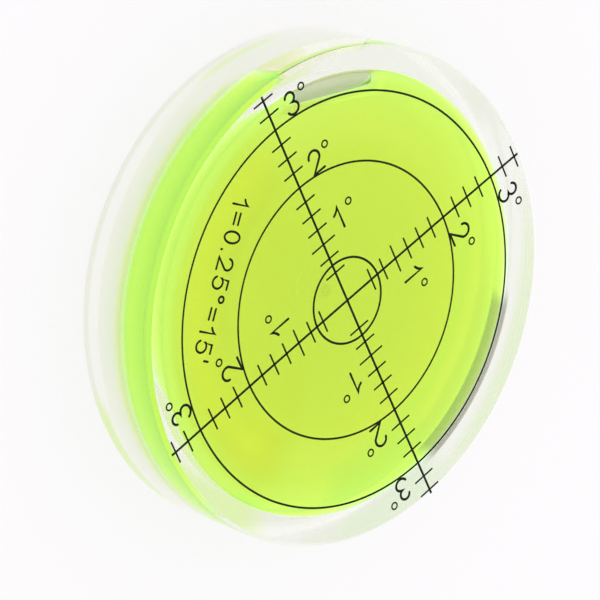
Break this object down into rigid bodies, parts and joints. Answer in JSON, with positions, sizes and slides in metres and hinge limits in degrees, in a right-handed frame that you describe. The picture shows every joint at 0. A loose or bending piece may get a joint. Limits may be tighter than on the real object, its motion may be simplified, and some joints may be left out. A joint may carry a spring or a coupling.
{
  "type": "bullseye level",
  "caption": "Round clear acrylic bullseye level: a liquid-filled disc vial with a domed cover and a degree dial, for levelling in two directions.",
  "frame": {"origin": "centre of the flat underside", "axes": "+Z along the disc's axis, out through the dial; +X and +Y along the dial's cross lines"},
  "size_m": [0.06, 0.06, 0.0124],
  "materials": {
    "clear_acrylic": "clear polished acrylic, satin underside",
    "level_liquid": "clear fluorescent yellow-green liquid",
    "plug_acrylic": "cemented acrylic plug, slightly cloudy",
    "dial_ink": "thin black screen-printed ink"
  },
  "bodies": {
    "root": {"vial_cup": "clear_acrylic", "lens_cover": "clear_acrylic", "level_liquid": "level_liquid", "filler_plug": "plug_acrylic"}
  },
  "joints": []
}
